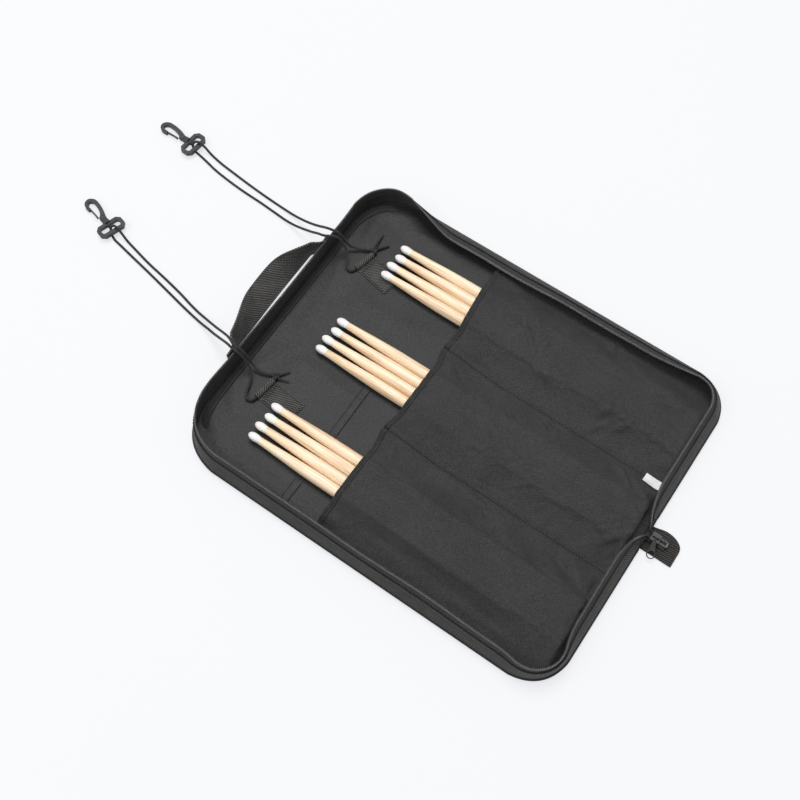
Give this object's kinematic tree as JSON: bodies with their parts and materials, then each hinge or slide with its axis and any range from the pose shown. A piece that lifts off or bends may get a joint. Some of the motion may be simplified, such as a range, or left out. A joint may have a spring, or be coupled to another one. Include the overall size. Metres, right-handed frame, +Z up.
{
  "type": "drum stick bag",
  "caption": "Zip-round fabric drum stick bag lying open, with stick pockets, sticks, a webbing handle and two cords with snap hooks for hanging it on a drum.",
  "frame": {"origin": "middle of the flat base under the spine, on the surface the bag lies on", "axes": "+X across the open bag towards the far leaf, +Y towards the handle end, +Z up"},
  "size_m": [0.406, 0.7911, 0.0385],
  "materials": {
    "shell_cloth": "dense black polyester weave",
    "pocket_cloth": "black polyester weave",
    "lining_cloth": "smooth black nylon lining, slight sheen",
    "foam_padding": "closed-cell foam sheet",
    "webbing": "ribbed black webbing",
    "zip_tape": "woven zip tape",
    "zip_coil": "black nylon coil",
    "zip_metal": "black lacquered die-cast metal",
    "hook_plastic": "moulded black nylon",
    "cord": "braided black polyester cord",
    "maple": "clear satin lacquer",
    "nylon_tip": "white moulded nylon",
    "label_cloth": "blank white woven label"
  },
  "bodies": {
    "spine": {"spine_outer_cloth": "shell_cloth", "spine_padding": "foam_padding", "spine_lining": "lining_cloth", "spine_wall_handle_end": "webbing", "spine_wall_zip_end": "webbing", "middle_pocket": "pocket_cloth", "handle": "webbing", "zip_end_tab": "webbing", "zip_end": "zip_coil", "near_cord": "cord", "far_cord": "cord", "near_hook_frame": "hook_plastic", "far_hook_frame": "hook_plastic"},
    "near_half": {"near_outer_cloth": "shell_cloth", "near_padding": "foam_padding", "near_lining": "lining_cloth", "near_gusset": "webbing", "near_zip_tape": "zip_tape", "near_zip_coil": "zip_coil", "near_pocket": "pocket_cloth", "near_webbing_loop": "webbing"},
    "far_half": {"far_outer_cloth": "shell_cloth", "far_padding": "foam_padding", "far_lining": "lining_cloth", "far_gusset": "webbing", "far_zip_tape": "zip_tape", "far_zip_coil": "zip_coil", "far_pocket": "pocket_cloth", "far_webbing_loop": "webbing", "label": "label_cloth"},
    "slider": {"zip_slider": "zip_metal"},
    "puller": {"zip_puller": "zip_metal"},
    "near_hook": {"near_hook": "hook_plastic"},
    "near_gate": {"near_hook_gate": "hook_plastic"},
    "far_hook": {"far_hook": "hook_plastic"},
    "far_gate": {"far_hook_gate": "hook_plastic"},
    "near_stick_1": {"near_stick_1_shaft": "maple", "near_stick_1_tip": "nylon_tip"},
    "near_stick_2": {"near_stick_2_shaft": "maple", "near_stick_2_tip": "nylon_tip"},
    "near_stick_3": {"near_stick_3_shaft": "maple", "near_stick_3_tip": "nylon_tip"},
    "near_stick_4": {"near_stick_4_shaft": "maple", "near_stick_4_tip": "nylon_tip"},
    "middle_stick_1": {"middle_stick_1_shaft": "maple", "middle_stick_1_tip": "nylon_tip"},
    "middle_stick_2": {"middle_stick_2_shaft": "maple", "middle_stick_2_tip": "nylon_tip"},
    "middle_stick_3": {"middle_stick_3_shaft": "maple", "middle_stick_3_tip": "nylon_tip"},
    "middle_stick_4": {"middle_stick_4_shaft": "maple", "middle_stick_4_tip": "nylon_tip"},
    "far_stick_1": {"far_stick_1_shaft": "maple", "far_stick_1_tip": "nylon_tip"},
    "far_stick_2": {"far_stick_2_shaft": "maple", "far_stick_2_tip": "nylon_tip"},
    "far_stick_3": {"far_stick_3_shaft": "maple", "far_stick_3_tip": "nylon_tip"},
    "far_stick_4": {"far_stick_4_shaft": "maple", "far_stick_4_tip": "nylon_tip"}
  },
  "joints": [
    {"name": "near_fold", "type": "hinge", "parent": "spine", "child": "near_half", "pos_m": [-0.04, 0, 0], "axis": [0, 1, 0], "range_deg": [0, 92], "deforming": ["near_cord"]},
    {"name": "far_fold", "type": "hinge", "parent": "spine", "child": "far_half", "pos_m": [0.04, 0, 0], "axis": [0, -1, 0], "range_deg": [0, 92], "deforming": ["far_cord"]},
    {"name": "zip_slide", "type": "slide", "parent": "spine", "child": "slider", "axis": [0, 1, 0], "range_m": [-0.007, 0.0035]},
    {"name": "puller_swing", "type": "hinge", "parent": "slider", "child": "puller", "pos_m": [0.003, -0.249, 0.0113], "axis": [0, 1, 0], "range_deg": [0, 150]},
    {"name": "near_hook_swivel", "type": "hinge", "parent": "spine", "child": "near_hook", "pos_m": [-0.02619, 0.47885, 0.00504], "axis": [0.2759, 0.9593, -0.06], "continuous": true},
    {"name": "near_gate_push", "type": "hinge", "parent": "near_hook", "child": "near_gate", "pos_m": [-0.02887, 0.48544, 0.0047], "axis": [-0.0166, -0.0576, -0.9982], "range_deg": [0, 20], "stiffness_Nm_per_rad": 0.02},
    {"name": "far_hook_swivel", "type": "hinge", "parent": "spine", "child": "far_hook", "pos_m": [0.1206, 0.47815, 0.00504], "axis": [0.0499, 0.997, -0.06], "continuous": true},
    {"name": "far_gate_push", "type": "hinge", "parent": "far_hook", "child": "far_gate", "pos_m": [0.11648, 0.48395, 0.0047], "axis": [-0.003, -0.0599, -0.9982], "range_deg": [0, 20], "stiffness_Nm_per_rad": 0.02},
    {"name": "near_stick_1_slide", "type": "slide", "parent": "near_half", "child": "near_stick_1", "axis": [0, 1, 0], "range_m": [0, 0.05]},
    {"name": "near_stick_2_slide", "type": "slide", "parent": "near_half", "child": "near_stick_2", "axis": [0, 1, 0], "range_m": [0, 0.05]},
    {"name": "near_stick_3_slide", "type": "slide", "parent": "near_half", "child": "near_stick_3", "axis": [0, 1, 0], "range_m": [0, 0.02]},
    {"name": "near_stick_4_slide", "type": "slide", "parent": "near_half", "child": "near_stick_4", "axis": [0, 1, 0], "range_m": [0, 0.014]},
    {"name": "middle_stick_1_slide", "type": "slide", "parent": "spine", "child": "middle_stick_1", "axis": [0, 1, 0], "range_m": [0, 0.05]},
    {"name": "middle_stick_2_slide", "type": "slide", "parent": "spine", "child": "middle_stick_2", "axis": [0, 1, 0], "range_m": [0, 0.05]},
    {"name": "middle_stick_3_slide", "type": "slide", "parent": "spine", "child": "middle_stick_3", "axis": [0, 1, 0], "range_m": [0, 0.05]},
    {"name": "middle_stick_4_slide", "type": "slide", "parent": "spine", "child": "middle_stick_4", "axis": [0, 1, 0], "range_m": [0, 0.05]},
    {"name": "far_stick_1_slide", "type": "slide", "parent": "far_half", "child": "far_stick_1", "axis": [0, 1, 0], "range_m": [0, 0.02]},
    {"name": "far_stick_2_slide", "type": "slide", "parent": "far_half", "child": "far_stick_2", "axis": [0, 1, 0], "range_m": [0, 0.018]},
    {"name": "far_stick_3_slide", "type": "slide", "parent": "far_half", "child": "far_stick_3", "axis": [0, 1, 0], "range_m": [0, 0.018]},
    {"name": "far_stick_4_slide", "type": "slide", "parent": "far_half", "child": "far_stick_4", "axis": [0, 1, 0], "range_m": [0, 0.012]}
  ]
}
